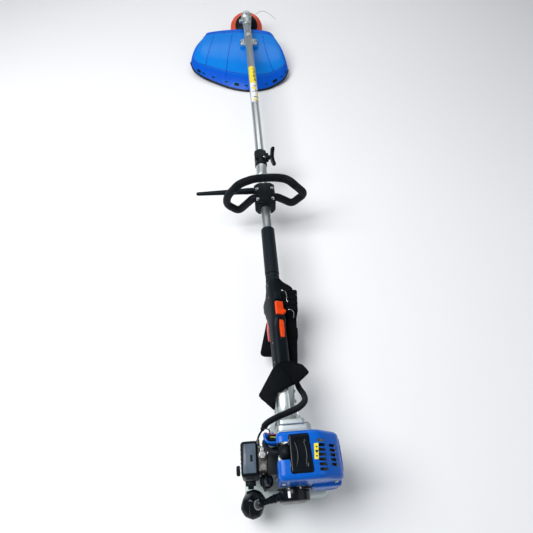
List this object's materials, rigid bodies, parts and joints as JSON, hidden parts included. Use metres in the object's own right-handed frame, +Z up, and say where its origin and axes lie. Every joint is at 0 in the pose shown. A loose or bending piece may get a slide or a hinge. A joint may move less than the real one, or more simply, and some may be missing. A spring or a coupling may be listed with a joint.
{
  "type": "string trimmer",
  "caption": "Petrol string trimmer lying on its tank foot: engine with blue cover, split shaft, loop handle, wide guard and bump-feed spool head.",
  "frame": {"origin": "centre of the flat foot under the fuel tank, 45 mm in front of the crankshaft's rear reference point, straight below the shaft axis", "axes": "+Y along the shaft towards the cutting head, +X to the operator's right, +Z up out of the foot"},
  "size_m": [0.368, 1.8039, 0.2073],
  "materials": {
    "blue_plastic": "glossy moulded blue",
    "shield_blue": "translucent-looking moulded blue",
    "black_plastic": "fine-grained black",
    "black_rubber": "black rubber and foam",
    "cast_aluminium": "as cast",
    "tube_aluminium": "satin drawn tube",
    "machined_steel": "machined",
    "orange_plastic": "moulded orange",
    "milky_tank": "milky blow-moulded",
    "grey_plastic": "grey",
    "nylon_line": "clear nylon line",
    "black_webbing": "padded black textile"
  },
  "bodies": {
    "root": {"cable_conduit": "black_rubber", "carburettor": "grey_plastic", "clutch_housing": "cast_aluminium", "connecting_rod": "machined_steel", "control_handle_left": "black_plastic", "control_handle_right": "black_plastic", "coupler": "black_plastic", "crankcase": "cast_aluminium", "cylinder": "cast_aluminium", "cylinder_cover": "blue_plastic", "fan_housing": "cast_aluminium", "filter_base": "black_plastic", "filter_cover": "black_plastic", "foam_sleeve": "black_rubber", "fuel_tank": "milky_tank", "harness_pad_left": "black_webbing", "harness_pad_rear": "black_webbing", "harness_pad_right": "black_webbing", "ignition_coil": "black_plastic", "insulator_block": "black_plastic", "lower_tube": "tube_aluminium", "muffler": "machined_steel", "piston": "cast_aluminium", "plug_boot": "black_rubber", "plug_cover": "black_plastic", "primer_base": "black_plastic", "spark_plug": "machined_steel", "starter_housing": "black_plastic"},
    "crank": {"crankshaft": "machined_steel", "flywheel": "cast_aluminium", "clutch_shoes": "machined_steel"},
    "drive": {"clutch_drum": "machined_steel", "lower_drive_shaft": "machined_steel"},
    "attachment": {"upper_tube": "tube_aluminium", "gear_case": "cast_aluminium", "shield": "shield_blue", "shield_bracket": "cast_aluminium"},
    "head_shaft": {"upper_drive_shaft": "machined_steel", "drive_pinion": "machined_steel"},
    "spool": {"output_gear": "machined_steel", "spool_housing": "black_plastic", "spool_base": "orange_plastic", "cutting_line": "nylon_line"},
    "feed": {"line_spool": "black_plastic"},
    "knob": {"coupler_knob": "black_plastic"},
    "button": {"coupler_button": "grey_plastic"},
    "handle": {"handle_clamp_base": "black_plastic", "handle_clamp_cap": "black_plastic", "barrier_bar": "black_plastic"},
    "loop": {"loop_handle": "black_rubber"},
    "trigger": {"throttle_trigger": "orange_plastic"},
    "barrel": {"throttle_barrel": "machined_steel"},
    "lockout": {"throttle_lockout": "orange_plastic"},
    "switch": {"stop_switch": "orange_plastic"},
    "choke": {"choke_lever": "black_plastic"},
    "primer": {"primer_bulb": "black_rubber"},
    "cap": {"fuel_cap": "black_plastic"},
    "filter_screw": {"filter_knob": "black_plastic"},
    "grip": {"starter_grip": "black_plastic"},
    "pulley": {"starter_pulley": "black_plastic"}
  },
  "joints": [
    {"name": "crank_spin", "type": "hinge", "parent": "root", "child": "crank", "pos_m": [0, -0.045, 0.102], "axis": [0, 1, 0], "continuous": true},
    {"name": "drive_spin", "type": "hinge", "parent": "root", "child": "drive", "pos_m": [0, -0.045, 0.102], "axis": [0, 1, 0], "continuous": true},
    {"name": "attachment_slide", "type": "slide", "parent": "root", "child": "attachment", "axis": [0, 1, 0], "range_m": [0, 0.055]},
    {"name": "head_shaft_spin", "type": "hinge", "parent": "attachment", "child": "head_shaft", "pos_m": [0, -0.045, 0.102], "axis": [0, 1, 0], "continuous": true},
    {"name": "spool_spin", "type": "hinge", "parent": "attachment", "child": "spool", "pos_m": [0, 1.641, 0.102], "axis": [0, 0.5592, -0.829], "continuous": true},
    {"name": "bump_feed", "type": "slide", "parent": "spool", "child": "feed", "axis": [0, -0.5592, 0.829], "range_m": [0, 0.003], "stiffness_N_per_m": 1500, "springref_m": -0.004},
    {"name": "coupler_knob_turn", "type": "hinge", "parent": "root", "child": "knob", "pos_m": [0.024, 0.832, 0.102], "axis": [1, 0, 0], "range_deg": [0, 1080]},
    {"name": "coupler_button_press", "type": "slide", "parent": "root", "child": "button", "axis": [-0.4801, 0, -0.8772], "range_m": [0, 0.0022], "stiffness_N_per_m": 400, "springref_m": -0.003},
    {"name": "handle_slide", "type": "slide", "parent": "root", "child": "handle", "axis": [0, 1, 0], "range_m": [-0.06, 0.05]},
    {"name": "handle_tilt", "type": "hinge", "parent": "handle", "child": "loop", "pos_m": [0, 0.653, 0.1265], "axis": [1, 0, 0], "range_deg": [-25, 25]},
    {"name": "trigger_squeeze", "type": "hinge", "parent": "root", "child": "trigger", "pos_m": [-0.00866, 0.349, 0.08342], "axis": [-0.9063, 0, 0.4226], "range_deg": [0, 14], "stiffness_Nm_per_rad": 0.3, "springref_deg": -17.19},
    {"name": "throttle_turn", "type": "hinge", "parent": "root", "child": "barrel", "pos_m": [-0.0515, 0.023, 0.142], "axis": [0, 0, 1], "range_deg": [0, 60.1]},
    {"name": "lockout_press", "type": "hinge", "parent": "root", "child": "lockout", "pos_m": [0.00824, 0.298, 0.11967], "axis": [0.9063, 0, -0.4226], "range_deg": [0, 5], "stiffness_Nm_per_rad": 0.3, "springref_deg": -11.46},
    {"name": "stop_switch_slide", "type": "slide", "parent": "root", "child": "switch", "axis": [0, 1, 0], "range_m": [0, 0.006]},
    {"name": "choke_turn", "type": "hinge", "parent": "root", "child": "choke", "pos_m": [-0.075, -0.015, 0.114], "axis": [1, 0, 0], "range_deg": [0, 60]},
    {"name": "primer_press", "type": "slide", "parent": "root", "child": "primer", "axis": [0, 0.3489, -0.9371], "range_m": [0, 0.004], "stiffness_N_per_m": 500, "springref_m": -0.001},
    {"name": "fuel_cap_turn", "type": "hinge", "parent": "root", "child": "cap", "pos_m": [-0.069, -0.031, 0.038], "axis": [-0.2806, -0.6213, 0.7316], "range_deg": [0, 540]},
    {"name": "filter_knob_turn", "type": "hinge", "parent": "root", "child": "filter_screw", "pos_m": [-0.0923, 0.007, 0.112], "axis": [-1, 0, 0], "range_deg": [0, 1080]},
    {"name": "starter_pull", "type": "slide", "parent": "root", "child": "grip", "axis": [-0.9545, -0.2449, 0.1699], "range_m": [0, 0.8], "stiffness_N_per_m": 10, "springref_m": -0.3},
    {"name": "pulley_turn", "type": "hinge", "parent": "root", "child": "pulley", "pos_m": [0, -0.045, 0.102], "axis": [0, 1, 0], "range_deg": [0, 2140]}
  ],
  "couplings": [
    {"joint": "drive_spin", "follows": "spool_spin", "ratio": -1.3333},
    {"joint": "head_shaft_spin", "follows": "spool_spin", "ratio": -1.3333},
    {"joint": "throttle_turn", "follows": "trigger_squeeze", "ratio": 4.2857},
    {"joint": "pulley_turn", "follows": "starter_pull", "rad_per_m": 46.5}
  ]
}
